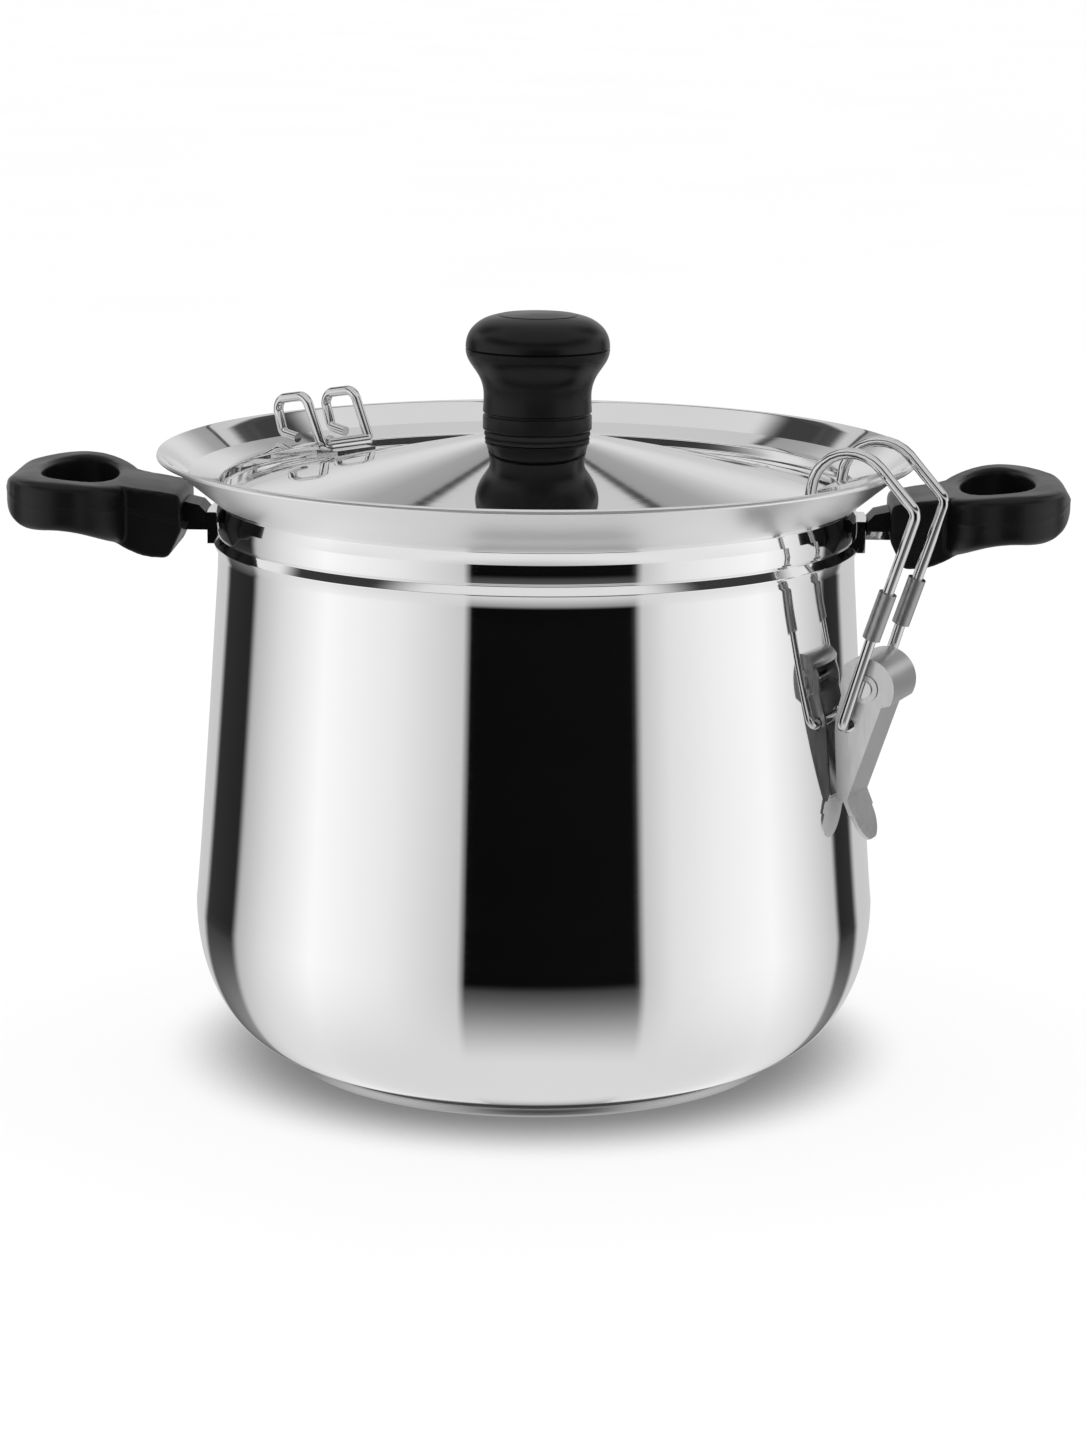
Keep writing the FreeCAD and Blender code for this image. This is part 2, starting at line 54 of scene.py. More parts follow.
SLEEVE_TOP, SLEEVE_LOW = (135.0, 178.0), (129.5, 162.0)
HOOK_R, HOOK_T = 1.8, 12.0
HOOK_PIVOT = (96.5, 207.0)

# --- the mould line round the handles: its height at each distance out, and the finger hole that it skips ---
FLASH_X = (122, 143, 151, 160, 172, 181, 186)
FLASH_Z = (190.5, 195.6, 196.8, 197.6, 198.0, 200.0, 202.0)
FLASH_RISE, FLASH_WIDTH = 0.22, 0.45
HOLE_X, HOLE_SEMI = 160.4, (13.6, 29.5)

# --- floor, lit by its own glow: its level in the open, and the painted shadow close under the pot ---
FLOOR_LEVEL, PAINTED_SHADOW_LEVEL, PAINTED_SHADOW_REACH = 0.82, 0.16, 0.034
FLOOR_RADIUS = 14.0

# --- camera ---
VIEW_TURN = 2.5
CAMERA_DISTANCE = 1.350
CAMERA_HEIGHT = 0.4140
CAMERA_SIDE = 0.0028
CAMERA_PITCH = 12.39
CAMERA_ROLL = 0.45
LENS = 97.03


# ---------------------------------------------------------------- curves

def rounded(points, radii, count=7):
    """A run of points, of any dimension, with bends at its corners, of one radius or of one for each."""
    points = [np.array(p, float) for p in points]
    radii = radii if isinstance(radii, list) else [radii] * (len(points) - 2)
    out = [points[0]]
    for before, corner, after, radius in zip(points, points[1:], points[2:], radii):
        u = (corner - before) / np.linalg.norm(corner - before)
        w = (after - corner) / np.linalg.norm(after - corner)
        turn = math.acos(max(-1.0, min(1.0, float(u @ w))))
        if turn < 0.01:
            out.append(corner)
            continue
        limit = 0.9 * min(np.linalg.norm(corner - before), np.linalg.norm(after - corner))
        run = min(radius * math.tan(turn / 2), limit)
        bend = run / math.tan(turn / 2)
        side = (w - u) / np.linalg.norm(w - u)
        centre = corner + side * bend / math.cos(turn / 2)
        for s in np.linspace(-0.5, 0.5, count):
            spoke = -side * math.cos(s * turn) + (u + w) / np.linalg.norm(u + w) * math.sin(s * turn)
            out.append(centre + spoke * bend)
    out.append(points[-1])
    return out


def smooth_line(points, count=40):
    """A natural cubic through the points."""
    p = np.array(points, float)
    n = len(p)
    t = np.concatenate([[0], np.cumsum(np.linalg.norm(np.diff(p, axis=0), axis=1))])
    h = np.diff(t)
    m = np.eye(n)
    rhs = np.zeros_like(p)
    for i in range(1, n - 1):
        m[i, i - 1:i + 2] = h[i - 1], 2 * (h[i - 1] + h[i]), h[i]
        rhs[i] = 6 * ((p[i + 1] - p[i]) / h[i] - (p[i] - p[i - 1]) / h[i - 1])
    k = np.linalg.solve(m, rhs)
    out = []
    for s in np.linspace(0, t[-1], count):
        i = min(int(np.searchsorted(t, s, side="right")) - 1, n - 2)
        a, b = t[i + 1] - s, s - t[i]
        value = (k[i] * a ** 3 + k[i + 1] * b ** 3) / (6 * h[i])
        value = value + (p[i] / h[i] - k[i] * h[i] / 6) * a + (p[i + 1] / h[i] - k[i + 1] * h[i] / 6) * b
        out.append(tuple(value))
    return out


# ---------------------------------------------------------------- meshes

def add_piece(name, verts, faces, material, body, *nodes, sharp=35):
    """A mesh given in millimetres, riding on a body and standing in for the CAD nodes named."""
    mesh = bpy.data.meshes.new(name)
    mesh.from_pydata([tuple(float(c) * MM for c in v) for v in verts], [], faces)
    mesh.validate()
    mesh.polygons.foreach_set("use_smooth", [True] * len(mesh.polygons))
    mesh.set_sharp_from_angle(angle=math.radians(sharp))
    obj = bpy.data.objects.new(name, mesh)
    bpy.context.scene.collection.objects.link(obj)
    mesh.materials.append(material)
    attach(obj, body)
    if nodes:
        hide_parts(*nodes)
    return obj


def lathe(name, outline, material, body, *nodes, turns=TURNS, sharp=35):
    """A closed (radius, height) outline, counter-clockwise, turned about Z."""
    verts, rings = [], []
    for r, z in outline:
        if r < 1e-6:
            rings.append([len(verts)] * turns)
            verts.append((0, 0, z))
            continue
        rings.append(list(range(len(verts), len(verts) + turns)))
        for k in range(turns):
            a = 2 * math.pi * k / turns
            verts.append((r * math.cos(a), r * math.sin(a), z))
    faces = []
    for one, two in zip(rings, rings[1:] + rings[:1]):
        for k in range(turns):
            n = (k + 1) % turns
            corners = [one[k], one[n], two[n], two[k]]
            face = [c for i, c in enumerate(corners) if c not in corners[:i]]
            if len(face) > 2:
                faces.append(face)
    return add_piece(name, verts, faces, material, body, *nodes, sharp=sharp)


def tube(name, path, radius, azimuth, material, body, *nodes, around=28):
    """A round bar swept along a path in a clamp's own plane, with closed ends."""
    p = [np.array(q, float) for q in path]
    p = [q for i, q in enumerate(p) if i == 0 or np.linalg.norm(q - p[i - 1]) > 1e-4]
    turn = math.radians(azimuth)
    spin = np.array([[math.cos(turn), -math.sin(turn), 0], [math.sin(turn), math.cos(turn), 0], [0, 0, 1]])
    along = [p[min(i + 1, len(p) - 1)] - p[max(i - 1, 0)] for i in range(len(p))]
    along = [t / np.linalg.norm(t) for t in along]
    side = np.cross(along[0], [0.31, 0.2, 0.93])  # any direction off the path will do to start the ring
    verts, faces = [], []
    for q, t in zip(p, along):
        side = side - t * float(side @ t)
        side = side / np.linalg.norm(side)
        other = np.cross(t, side)
        for k in range(around):
            a = 2 * math.pi * k / around
            verts.append(spin @ (q + radius * (math.cos(a) * side + math.sin(a) * other)))
    for i in range(len(p) - 1):
        for k in range(around):
            n = (k + 1) % around
            faces.append([i * around + k, i * around + n, (i + 1) * around + n, (i + 1) * around + k])
    last = (len(p) - 1) * around
    faces.append(list(range(around))[::-1])
    faces.append(list(range(last, last + around)))
    return add_piece(name, verts, faces, material, body, *nodes, sharp=50)


def softened(node, name, material, body, voxel, rounds):
    """A moulded copy of a CAD node, its edges eased by remeshing."""
    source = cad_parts[node]
    obj = bpy.data.objects.new(name, source.data.copy())
    obj.data.name = name
    bpy.context.scene.collection.objects.link(obj)
    remesh = obj.modifiers.new("remesh", "REMESH")
    remesh.mode = "VOXEL"
    remesh.voxel_size = voxel * MM
    ease = obj.modifiers.new("ease", "SMOOTH")
    ease.factor = 0.5
    ease.iterations = rounds
    bpy.context.view_layer.update()
    graph = bpy.context.evaluated_depsgraph_get()
    mesh = bpy.data.meshes.new_from_object(obj.evaluated_get(graph))
    obj.modifiers.clear()
    obj.data = mesh
    mesh.name = name
    mesh.polygons.foreach_set("use_smooth", [True] * len(mesh.polygons))
    mesh.materials.clear()
    mesh.materials.append(material)
    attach(obj, body)
    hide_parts(node)
    return obj


# ---------------------------------------------------------------- node helpers

class Graph:
    """Short names for building a node tree."""

    def __init__(self, tree, keep=False):
        self.tree = tree
        if not keep:
            tree.nodes.clear()

    def node(self, kind, **values):
        made = self.tree.nodes.new(kind)
        for key, value in values.items():
            setattr(made, key, value)
        return made

    def put(self, socket, value):
        if isinstance(value, bpy.types.NodeSocket):
            self.tree.links.new(value, socket)
        else:
            socket.default_value = value

    def math(self, operation, *values):
        made = self.node("ShaderNodeMath", operation=operation)
        for socket, value in zip(made.inputs, values):
            self.put(socket, value)
        return made.outputs[0]

    def ramp(self, factor, stops, smooth=False):
        made = self.node("ShaderNodeValToRGB")
        made.color_ramp.interpolation = "EASE" if smooth else "LINEAR"
        while len(made.color_ramp.elements) < len(stops):
            made.color_ramp.elements.new(0.5)
        for element, (position, level) in zip(made.color_ramp.elements, stops):
            element.position = position
            colour = level if isinstance(level, tuple) else (level, level, level)
            element.color = (*colour, 1)
        self.put(made.inputs[0], factor)
        return made.outputs[0]

    def stretch(self, value, low, high, to_low=0.0, to_high=1.0):
        made = self.node("ShaderNodeMapRange", interpolation_type="SMOOTHSTEP")
        keys = ("Value", "From Min", "From Max", "To Min", "To Max")
        for key, entry in zip(keys, (value, low, high, to_low, to_high)):
            self.put(made.inputs[key], entry)
        return made.outputs[0]

    def noise(self, vector, scale, detail=2.0, rough=0.5):
        made = self.node("ShaderNodeTexNoise")
        self.put(made.inputs["Vector"], vector)
        made.inputs["Scale"].default_value = scale
        made.inputs["Detail"].default_value = detail
        made.inputs["Roughness"].default_value = rough
        return made.outputs[0]

    def scaled(self, vector, x, y, z):
        made = self.node("ShaderNodeVectorMath", operation="MULTIPLY")
        self.put(made.inputs[0], vector)
        made.inputs[1].default_value = (x, y, z)
        return made.outputs[0]

    def bump(self, height, strength, distance):
        made = self.node("ShaderNodeBump")
        made.inputs["Strength"].default_value = strength
        made.inputs["Distance"].default_value = distance
        self.put(made.inputs["Height"], height)
        return made.outputs[0]


def new_material(name):
    """A material with an empty principled shader, and the object coordinates that its marks follow."""
    material = bpy.data.materials.new(name)
    material.use_nodes = True
    graph = Graph(material.node_tree)
    shader = graph.node("ShaderNodeBsdfPrincipled")
    output = graph.node("ShaderNodeOutputMaterial")
    graph.tree.links.new(shader.outputs[0], output.inputs[0])
    place = graph.node("ShaderNodeTexCoord").outputs["Object"]
    return material, graph, shader, place


def cylinder_coordinates(graph, place):
    """(radius, angle, height) of a point about the pot's axis, for marks left by spinning it."""
    split = graph.node("ShaderNodeSeparateXYZ")
    graph.put(split.inputs[0], place)
    x, y, z = split.outputs
    across = graph.math("ADD", graph.math("MULTIPLY", x, x), graph.math("MULTIPLY", y, y))
    radius = graph.math("SQRT", across)
    angle = graph.math("ARCTAN2", y, x)
    join = graph.node("ShaderNodeCombineXYZ")
    for socket, value in zip(join.inputs, (radius, angle, z)):
        graph.put(socket, value)
    return join.outputs[0]


def spun_steel(name, level, rough, spread, lines, strength):
    """Polished or satin stainless with the faint rings left by spinning and buffing."""
    material, graph, shader, place = new_material(name)
    turned = cylinder_coordinates(graph, place)
    rings = graph.noise(graph.scaled(turned, lines, 0.6, lines), 1.0, 3.0, 0.6)
    cloud = graph.noise(place, 14.0, 3.0)
    low = level * 0.97
    tint = graph.ramp(cloud, [(0.25, (low, low, level * 0.972)), (0.75, (level, level, level))])
    graph.put(shader.inputs["Base Color"], tint)
    shader.inputs["Metallic"].default_value = 1.0
    graph.put(shader.inputs["Roughness"], graph.stretch(rings, 0.3, 0.75, rough, rough + spread))
    graph.put(shader.inputs["Normal"], graph.bump(rings, strength, 0.0002))
    return material


def shell_steel(name, level, rough, spread, lines, strength):
    """The shell's polish, left softer on the underside of the collar, which is the outer skin of its cone."""
    material = spun_steel(name, level, rough, spread, lines, strength)
    tree = material.node_tree
    graph = Graph(tree, keep=True)
    shader = tree.nodes["Principled BSDF"]
    place = graph.node("ShaderNodeTexCoord").outputs["Object"]
    split = graph.node("ShaderNodeSeparateXYZ")
    graph.put(split.inputs[0], cylinder_coordinates(graph, place))
    radius, _, height = split.outputs
    lean = graph.math("SUBTRACT", radius, graph.math("MULTIPLY", height, COLLAR_LEAN))
    skin = (COLLAR_END[0] - COLLAR_END[1] * COLLAR_LEAN) * MM
    thick = WALL * math.hypot(1, COLLAR_LEAN) * MM
    foot = NECK[-1][1] * MM
    under = graph.stretch(lean, skin - 0.65 * thick, skin - 0.34 * thick)
    under = graph.math("MULTIPLY", under, graph.stretch(height, foot + 0.3 * MM, foot + 1.9 * MM))
    polish = shader.inputs["Roughness"].links[0].from_socket
    haze = graph.math("MULTIPLY", under, COLLAR_HAZE)
    graph.put(shader.inputs["Roughness"], graph.math("ADD", polish, haze))
    return material


def drawn_steel(name, level, rough, spread, scale, strength, stretch=(1.0, 1.0, 0.08)):
    """Wire or sheet with fine marks along the way it was drawn or brushed."""
    material, graph, shader, place = new_material(name)
    grain = graph.noise(graph.scaled(place, *stretch), scale, 4.0, 0.65)
    cloud = graph.noise(place, 60.0, 2.0)
    low = level * 0.94
    tint = graph.ramp(cloud, [(0.3, (low, low, low * 1.005)), (0.7, (level, level, level))])
    graph.put(shader.inputs["Base Color"], tint)
    shader.inputs["Metallic"].default_value = 1.0
    graph.put(shader.inputs["Roughness"], graph.stretch(grain, 0.3, 0.7, rough, rough + spread))
    graph.put(shader.inputs["Normal"], graph.bump(grain, strength, 0.0002))
    return material


def phenolic(name, level, rough, grain_scale, strength):
    """Black moulded thermoset: a fine pebbled skin with a slight, uneven sheen."""
    material, graph, shader, place = new_material(name)
    pebbles = graph.noise(place, grain_scale, 3.0, 0.7)
    cloud = graph.noise(place, 45.0, 3.0)
    graph.put(shader.inputs["Base Color"], graph.ramp(cloud, [(0.3, level * 0.75), (0.7, level * 1.3)]))
    graph.put(shader.inputs["Roughness"], graph.stretch(cloud, 0.3, 0.7, rough - 0.05, rough + 0.05))
    graph.put(shader.inputs["Normal"], graph.bump(pebbles, strength, 0.0003))
    shader.inputs["Specular IOR Level"].default_value = 0.24
    return material


def tinted_metal(name, colour, rough):
    """Aluminium or brass, seen only where a cover is off."""
    material, graph, shader, place = new_material(name)
    marks = graph.noise(graph.scaled(place, 1.0, 1.0, 6.0), 300.0, 3.0)
    dark = tuple(c * 0.85 for c in colour)
    graph.put(shader.inputs["Base Color"], graph.ramp(marks, [(0.3, dark), (0.7, colour)]))
    shader.inputs["Metallic"].default_value = 1.0
    graph.put(shader.inputs["Roughness"], graph.stretch(marks, 0.3, 0.7, rough, rough + 0.12))
    return material


def make_materials():
    return {
        "mirror": spun_steel("mirror_steel", 0.93, 0.035, 0.02, 900.0, 0.012),
        "shell": shell_steel("shell_steel", 0.93, 0.035, 0.02, 900.0, 0.012),
        "wire": drawn_steel("polished_wire", 0.74, 0.06, 0.08, 900.0, 0.02),
        "satin": drawn_steel("satin_steel", 0.74, 0.28, 0.10, 1400.0, 0.04),
        "sleeve": drawn_steel("sleeve_steel", 0.42, 0.30, 0.12, 1600.0, 0.12),
        "base": spun_steel("base_steel", 0.52, 0.34, 0.10, 1500.0, 0.10),
        "core": tinted_metal("aluminium_core", (0.30, 0.30, 0.31), 0.4),
        "brass": tinted_metal("brass_fitting", (0.72, 0.53, 0.24), 0.25),
        "phenolic": phenolic("black_phenolic", 0.0035, 0.34, 1500.0, 0.10),
        "cap": phenolic("knob_phenolic", 0.0035, 0.32, 1700.0, 0.08),
        "rubber": phenolic("black_rubber", 0.02, 0.62, 900.0, 0.10),
    }


# ---------------------------------------------------------------- shells

def side_line(depth):
    """The shell's side, moved in by depth, from the edge of its base to the neck."""
    points = []
    for a in np.radians(np.arange(0, 90, 2.5)):
        r = BASE_R + (BELLY_R - BASE_R) * math.sin(a) ** 0.95
        points.append((r, BELLY_Z - (BELLY_Z - BASE_Z) * math.cos(a) ** 0.95))
    for s in np.linspace(0, 1, 33):
        points.append((BELLY_R - SIDE_DRAW_IN * s ** 0.9, BELLY_Z + s * (SIDE_TOP_Z - BELLY_Z)))
    points = points[:-2] + smooth_line(points[-3:] + [NECK[0]], 14)[1:]
    p = np.array(points)
    way = np.gradient(p, axis=0)
    way /= np.linalg.norm(way, axis=1)[:, None]
    return [tuple(q) for q in p + depth * np.stack([-way[:, 1], way[:, 0]], axis=1)]


def rows(points, count):
    """Points spaced evenly between two ends, so that long plain faces shade evenly."""
    (a, b), (c, d) = points
    return [(a + (c - a) * s, b + (d - b) * s) for s in np.linspace(0, 1, count)]


def neck_line(depth, end):
    """The rolled beads of the neck, moved in by depth, and the collar's plain cone up to its end."""
    corners = [(r - depth, z) for r, z in NECK] + [end]
    bends = [tuple(p) for p in rounded(corners, NECK_BENDS, 9)]
    return bends[1:-1] + rows([bends[-2], end], 12)[1:]


def pot_outline():
    """Out along the base, up the outside, over the lip and back down the inside."""
    slope = np.array(COLLAR_END) - np.array(NECK[-1])
    inner_end = np.array(COLLAR_END) + np.array([-slope[1], slope[0]]) / np.linalg.norm(slope) * WALL
    outer = [(0, BASE_Z), (60, BASE_Z)] + side_line(0) + neck_line(0, COLLAR_END)
    outer += [tuple(p) for p in rounded([COLLAR_END, *LIP, tuple(inner_end)], 0.45, 6)[1:]]
    inner = neck_line(WALL, tuple(inner_end))[::-1][1:]
    inner += [p for p in side_line(WALL)[::-1] if p[1] > BASE_Z + WALL]
    return outer + inner + [(60, BASE_Z + WALL), (0, BASE_Z + WALL)]


def lid_outline():
    """The cone, its level floor, the wall up out of the well and the flange: the upper face inward, then the
    lower face outward."""
    top = [FLANGE, (112.4, 206.3), (110.1, 205.6), (110.1, 201.8), (105.0, 201.8), (CROWN_R, CROWN_Z)]
    under = [(CROWN_R, CROWN_Z - LID_T), (105.0, 201.0), (110.9, 201.0), (110.9, 204.9), (112.6, 205.5)]
    top_line = [tuple(p) for p in rounded(top, 0.8, 7)]
    under_line = [tuple(p) for p in rounded(under + [(FLANGE[0] + 0.1, FLANGE[1] - LID_T)], 0.9, 7)]
    crown = [(STUD_R, CROWN_Z), (STUD_R, CROWN_Z - LID_T)]
    cone = rows([top_line[-2], top_line[-1]], 24)[1:]
    return top_line[:-1] + cone + crown + under_line


def build_shells(mat):
    lathe("pot_shell", pot_outline(), mat["shell"], "pot", "pot_body")
    lathe("lid_shell", lid_outline(), mat["mirror"], "lid", "lid")
    inner = CAP_R - CAP_WALL
    cap = rounded([(0, 0), (CAP_R, 0), (CAP_R, 3.4), (inner, 3.4)], 1.4, 7)
    cap += [(inner, 1.8), (inner - 1.0, CAP_WALL), (0, CAP_WALL)]
    lathe("base_plate", [tuple(p) for p in cap], mat["base"], "pot", "base_cap")


# ---------------------------------------------------------------- knob

def grip_outline():
    """The grip: waisted above its ring, swelling to the parting line, with the stud's hole below."""
    low, hole_top, rim = RING_TOP, 241.0, KNOB_R - 0.5
    waist = [(CROWN_R, 229.0), (18.8, 232.5), (18.9, 236.5)]
    swell = [(20.3, 241.0), (22.9, 245.0), (24.7, 248.4), (KNOB_R, 250.6)]
    foot = [(9.0, low), (18.2, low), (18.2, low + 0.6)]
    bore = [(0, hole_top), (STUD_R, hole_top), (STUD_R, low + 3.0), (9.0, low + 3.0)]
    return foot + smooth_line(waist + swell, 36) + [(rim, PARTING_Z), (0, PARTING_Z)] + bore


def dome_outline(recess):
    """The knob's domed top, with the recess that its disc lies in."""
    dome = [(KNOB_R, 251.4), (24.9, 253.4), (23.9, 256.4), (21.4, 259.3), (18.0, 261.3), (14.6, KNOB_TOP)]
    well = [(DISC_R, KNOB_TOP), (DISC_R, recess), (0, recess)]
    return [(0, PARTING_Z), (KNOB_R - 0.5, PARTING_Z)] + smooth_line(dome, 30) + well


def build_knob(mat):
    recess = KNOB_TOP - 1.6
    disc = rounded([(DISC_R, recess), (DISC_R, recess + 1.9), (0, recess + 2.2)], 0.8, 6)
    washer = rounded([(STUD_R, CROWN_Z), (18.5, CROWN_Z), (18.5, WASHER_TOP), (STUD_R, WASHER_TOP)], 1.1, 8)
    low, high = WASHER_TOP, RING_TOP
    ring = [(STUD_R, low), (18.4, low), (19.0, low + 0.6), (19.0, high - 0.5), (18.5, high), (STUD_R, high)]
    pieces = [
        ("knob_grip_moulding", grip_outline(), "phenolic", "knob_grip", 128),
        ("knob_cap_moulding", dome_outline(recess), "cap", "knob_cap", 128),
        ("knob_disc_moulding", [(0, recess)] + disc, "phenolic", "knob_top_disc", 96),
        ("knob_seal_ring", washer, "rubber", "knob_washer", 96),
        ("knob_collar_moulding", rounded(ring, 0.3, 4), "phenolic", "knob_ring", 128),
    ]
    for name, outline, key, node, turns in pieces:
        lathe(name, [tuple(p) for p in outline], mat[key], "lid", node, turns=turns)


# ---------------------------------------------------------------- wires

def plane_points(pairs, t):
    """(radius, height) pairs set t to one side of a clamp's middle plane."""
    return [(r, t, z) for r, z in pairs]


def loop_path(side, pivot, half):
    """From the end of one leg, up and over to the pivot bar, and back down the other leg."""
    across = plane_points([pivot], -half) + plane_points([pivot], half)
    return plane_points(side[::-1], -half) + across + plane_points(side, half)


def build_wires(mat):
    middle = ((SLEEVE_TOP[0] + SLEEVE_LOW[0]) / 2, (SLEEVE_TOP[1] + SLEEVE_LOW[1]) / 2)
    side = [(110.8, 242.2), (144.3, 205.5), SLEEVE_TOP, middle]
    bends = [3.0, 4.5, 14.0, 3.2]
    path = rounded(loop_path(side, BAIL_PIVOT, WIRE_T), bends + bends[::-1], 11)
    tube("bail_bent_wire", path, WIRE_R, CLAMP_AZ, mat["wire"], "bail", "bail_wire")
    path = rounded(loop_path([SLEEVE_LOW, middle], LEVER_PIVOT, WIRE_T), 3.2, 9)
    tube("draw_bent_wire", path, WIRE_R, CLAMP_AZ, mat["wire"], "bail", "draw_wire")
    side = [(105.2, 225.2), (121.2, 222.4), (117.2, 210.4), (109.4, 209.3)]
    bends = [2.6, 4.4, 4.4, 2.2]
    path = rounded(loop_path(side, HOOK_PIVOT, HOOK_T), bends + bends[::-1], 11)
    tube("hook_bent_wire", path, HOOK_R, HOOK_AZ, mat["wire"], "hook", "rear_hook")


# ---------------------------------------------------------------- handles

def add_flash(obj):
    """Raises the thin flash line where the handle's two mould halves met, but not inside its finger hole."""
    mesh = obj.data
    count = len(mesh.vertices)
    co = np.empty(count * 3)
    no = np.empty(count * 3)
    mesh.vertices.foreach_get("co", co)
    mesh.vertex_normals.foreach_get("vector", no)
    co, no = co.reshape(-1, 3), no.reshape(-1, 3)
    x = np.abs(co[:, 0]) / MM
    z = co[:, 2] / MM
    hole = ((x - HOLE_X) / HOLE_SEMI[0]) ** 2 + (co[:, 1] / MM / HOLE_SEMI[1]) ** 2 < 1
    upright = np.abs(no[:, 2]) < 0.8
    away = (z - np.interp(x, FLASH_X, FLASH_Z)) / FLASH_WIDTH
    rise = FLASH_RISE * np.exp(-away ** 2) * (~hole) * upright
    mesh.vertices.foreach_set("co", (co + no * rise[:, None] * MM).ravel())
    mesh.update()


def build_handles(mat):
    voxel = 0.62
    for side in ("right", "left"):
        handle = softened(side + "_handle", side + "_handle_moulding", mat["phenolic"], "pot", voxel, 9)
        add_flash(handle)


def paint_rest(mat):
    """Materials for the CAD nodes that stay as they are."""
    finish = {
        "base_core": "core", "right_handle_bracket": "mirror", "left_handle_bracket": "mirror",
        "right_handle_ferrule": "phenolic", "left_handle_ferrule": "phenolic", "handle_screws": "satin",
        "lid_gasket": "rubber", "front_lug": "wire", "rear_lug": "wire", "vent_stud": "brass",
        "stud_seal": "rubber", "stud_nut": "satin", "valve_poppet": "brass", "valve_spring": "satin",
        "spring_retainer": "brass", "bail_sleeves": "sleeve", "clamp_lever": "satin", "lever_saddle": "satin",
        "lever_rivet": "wire", "rivet_washers": "satin",
    }
    for node, key in finish.items():
        for material_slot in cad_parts[node].material_slots:
            material_slot.material = mat[key]


# ---------------------------------------------------------------- studio

def at_view(right, back, up):
    """A place given from the camera's side: to its right, away from it, and up."""
    a = math.radians(VIEW_TURN)
    return Vector((right * math.cos(a) - back * math.sin(a), right * math.sin(a) + back * math.cos(a), up))


def build_floor():
    """A pale round floor that carries most of its own brightness as a glow, with a painted shadow: the glow
    is dimmed by ambient occlusion close under the pot.
    """
    material, graph, shader, place = new_material("studio_floor")
    cloud = graph.noise(place, 3.0)
    graph.put(shader.inputs["Base Color"], graph.ramp(cloud, [(0.3, 0.16), (0.7, 0.17)]))
    # painted shadow: ambient occlusion darkens the floor's own glow close under the pot
    painted_shadow_ao = graph.node("ShaderNodeAmbientOcclusion")
    painted_shadow_ao.samples = 12
    painted_shadow_ao.inputs["Distance"].default_value = PAINTED_SHADOW_REACH
    shader.inputs["Emission Color"].default_value = (1, 1, 1, 1)
    floor_glow_and_painted_shadow = graph.stretch(painted_shadow_ao.outputs["AO"], 0.1, 0.95, PAINTED_SHADOW_LEVEL, FLOOR_LEVEL)
    graph.put(shader.inputs["Emission Strength"], floor_glow_and_painted_shadow)
    shader.inputs["Roughness"].default_value = 0.9
    shader.inputs["Specular IOR Level"].default_value = 0.0
    mesh = bpy.data.meshes.new("floor")
    turns = [2 * math.pi * k / 48 for k in range(48)]
    edge = [(FLOOR_RADIUS * math.cos(a), FLOOR_RADIUS * math.sin(a), 0) for a in turns]
    mesh.from_pydata(edge, [], [list(range(len(edge)))])
    mesh.materials.append(material)
    floor = bpy.data.objects.new("floor", mesh)
    bpy.context.scene.collection.objects.link(floor)
    floor.visible_glossy = False


def round_stops():
    """How bright the studio is all round, low down, by degrees round from the camera to its right: a dark
    card behind the pot on each side, and the black one round the camera."""
    profile = [(-180, 0.62), (-152, 0.60), (-146, 0.03), (-123, 0.02), (-119, 0.50), (-103, 0.76),
               (-80, 1.04), (-50, 0.87), (-33, 0.70), (-25, 0.62), (-23, 0.003), (35, 0.004),
               (38, 0.60), (48, 0.80), (66, 0.92), (88, 1.02), (102, 0.86), (124, 0.56),
               (127, 0.02), (140, 0.03), (145, 0.60), (180, 0.62)]
    return [((a + 180) / 360, level) for a, level in profile]


def back_stops():
    """How bright the back of the studio is from its foot to overhead, in degrees, with a dark seam under the
    ceiling."""
    profile = [(0, 0.80), (10, 0.80), (18, 0.70), (25, 0.38), (28.8, 0.34), (29.2, 0.05), (29.8, 0.05),
               (30.2, 0.60), (45, 0.62), (60, 0.66), (90, 0.80)]
    return [(a / 90, level) for a, level in profile]


def mixed(graph, factor, one, two):
    """One value where the factor is 0, the other where it is 1."""
    made = graph.node("ShaderNodeMix", data_type="FLOAT")
    graph.put(made.inputs[0], factor)
    graph.put(made.inputs[2], one)
    graph.put(made.inputs[3], two)
    return made.outputs[0]


def band(graph, value, start, full, fade, end):
    """1 between full and fade, falling to 0 at start and end."""
    return graph.math("MULTIPLY", graph.stretch(value, start, full), graph.stretch(value, end, fade))


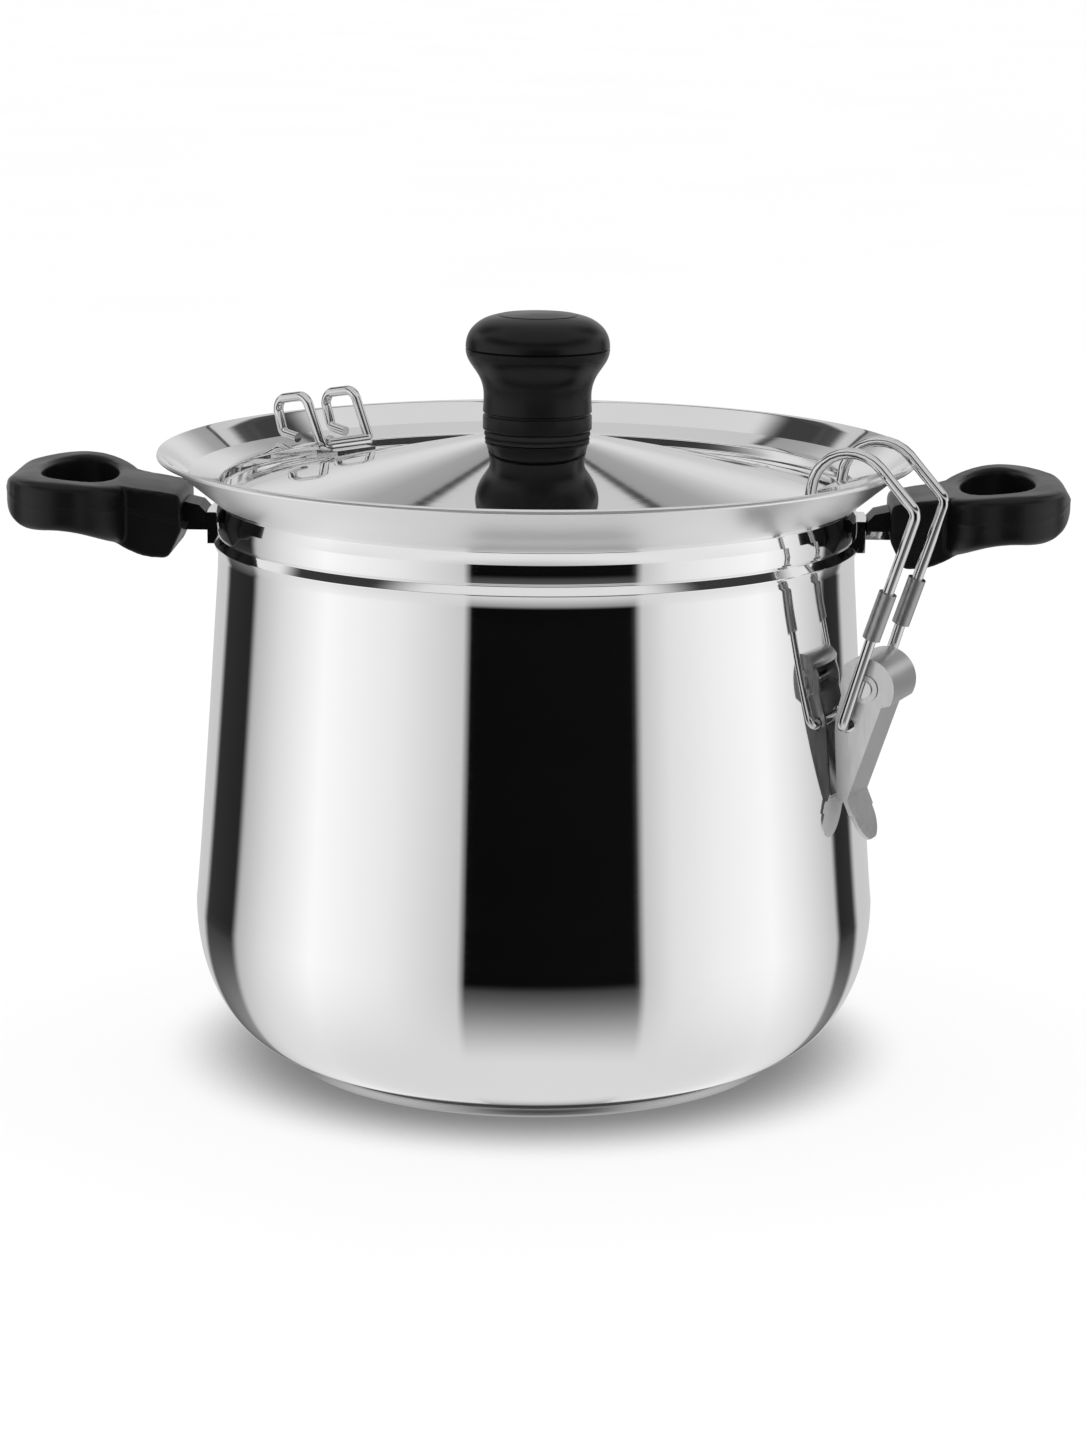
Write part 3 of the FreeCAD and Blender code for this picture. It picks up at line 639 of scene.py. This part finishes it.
def studio_level(graph):
    """Brightness of the studio that polished metal sees: a black card in front, dark cards at both sides, a
    white floor, a pale ceiling with two dark gaps, and a back wall that ends in a dark seam."""
    way = graph.node("ShaderNodeTexCoord").outputs["Generated"]
    spin = graph.node("ShaderNodeVectorRotate", rotation_type="Z_AXIS")
    graph.put(spin.inputs["Vector"], way)
    spin.inputs["Angle"].default_value = -math.radians(VIEW_TURN)
    split = graph.node("ShaderNodeSeparateXYZ")
    graph.put(split.inputs[0], spin.outputs[0])
    right, back, up = split.outputs
    front = graph.math("MULTIPLY", back, -1.0)
    elevation = graph.math("DEGREES", graph.math("ARCSINE", up))
    # the low cards are placed by the part of the pot's side that shows them, half way round to the camera
    half = graph.math("ARCTAN2", right, graph.math("ADD", front, 0.966))
    low_place = graph.math("ADD", graph.math("DIVIDE", half, math.pi), 0.5)
    low = graph.ramp(low_place, round_stops())
    # straight behind the pot that angle has no meaning, so the cards give way to one level
    low = mixed(graph, graph.stretch(front, -0.90, -0.945), low, 0.61)
    low = mixed(graph, graph.stretch(elevation, -10.0, -65.0), low, 0.74)
    azimuth = graph.math("ABSOLUTE", graph.math("DEGREES", graph.math("ARCTAN2", right, front)))
    seam = graph.ramp(graph.math("DIVIDE", elevation, 90.0), back_stops())
    sides = graph.stretch(elevation, 20.0, 70.0, 0.82, 0.70)
    high = mixed(graph, graph.stretch(azimuth, 145.0, 150.0), sides, seam)
    edge = band(graph, azimuth, 141.5, 144.5, 146.5, 149.5)
    high = mixed(graph, edge, high, 0.10)
    gap = graph.math("MULTIPLY", band(graph, azimuth, 118.0, 126.0, 142.0, 150.0),
                     band(graph, elevation, 22.0, 28.0, 47.0, 54.0))
    high = mixed(graph, gap, high, 0.05)
    flag = graph.math("MULTIPLY", graph.stretch(azimuth, 108.0, 96.0),
                      band(graph, elevation, 16.0, 22.0, 34.0, 39.0))
    high = mixed(graph, flag, high, 0.04)
    return mixed(graph, graph.stretch(elevation, 6.0, 16.0), low, high)


def build_world():
    """White all round, with the dark cards that polished metal needs; only reflections show them."""
    world = bpy.data.worlds.new("studio")
    bpy.context.scene.world = world
    world.use_nodes = True
    graph = Graph(world.node_tree)
    level = studio_level(graph)
    path = graph.node("ShaderNodeLightPath")
    seen = graph.node("ShaderNodeBackground")
    graph.put(seen.inputs[0], level)
    plain = graph.node("ShaderNodeBackground")
    plain.inputs[0].default_value = (1, 1, 1, 1)
    plain.inputs[1].default_value = 1.06
    choose = graph.node("ShaderNodeMixShader")
    graph.put(choose.inputs[0], path.outputs["Is Glossy Ray"])
    graph.tree.links.new(plain.outputs[0], choose.inputs[1])
    graph.tree.links.new(seen.outputs[0], choose.inputs[2])
    graph.tree.links.new(choose.outputs[0], graph.node("ShaderNodeOutputWorld").inputs[0])


def soft_light(name, place, size, power):
    """A softbox aimed at the middle of the pot, that neither the camera nor a reflection shows."""
    light = bpy.data.lights.new(name, "AREA")
    light.shape = "RECTANGLE"
    light.size, light.size_y = size
    light.energy = power
    obj = bpy.data.objects.new(name, light)
    bpy.context.scene.collection.objects.link(obj)
    obj.location = place
    aim = Vector((0, 0, 0.15)) - Vector(place)
    obj.rotation_euler = aim.to_track_quat("-Z", "Y").to_euler()
    obj.visible_camera = False
    obj.visible_glossy = False


def build_lights():
    soft_light("top_softbox", at_view(0.0, 0.35, 1.6), (1.2, 0.8), 5.0)


def build_camera():
    camera = bpy.data.cameras.new("camera")
    camera.lens = LENS
    camera.sensor_width = 36.0
    camera.clip_start = 0.01
    obj = bpy.data.objects.new("camera", camera)
    bpy.context.scene.collection.objects.link(obj)
    obj.location = at_view(CAMERA_SIDE, -CAMERA_DISTANCE, CAMERA_HEIGHT)
    turn = Euler((math.radians(90 - CAMERA_PITCH), 0, math.radians(VIEW_TURN)), "XYZ").to_matrix()
    roll = Euler((0, 0, math.radians(CAMERA_ROLL)), "XYZ").to_matrix()
    obj.rotation_euler = (turn @ roll).to_euler()
    bpy.context.scene.camera = obj
    bpy.context.scene.view_settings.view_transform = "Standard"


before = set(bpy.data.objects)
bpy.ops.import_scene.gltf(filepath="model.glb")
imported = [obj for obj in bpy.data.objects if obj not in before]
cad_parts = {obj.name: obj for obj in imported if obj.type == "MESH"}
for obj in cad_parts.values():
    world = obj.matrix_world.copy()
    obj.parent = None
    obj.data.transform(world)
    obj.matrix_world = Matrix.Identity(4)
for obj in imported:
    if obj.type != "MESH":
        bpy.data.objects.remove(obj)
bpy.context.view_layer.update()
materials = make_materials()
build_shells(materials)
build_knob(materials)
build_wires(materials)
build_handles(materials)
paint_rest(materials)
build_floor()
build_world()
build_lights()
build_camera()
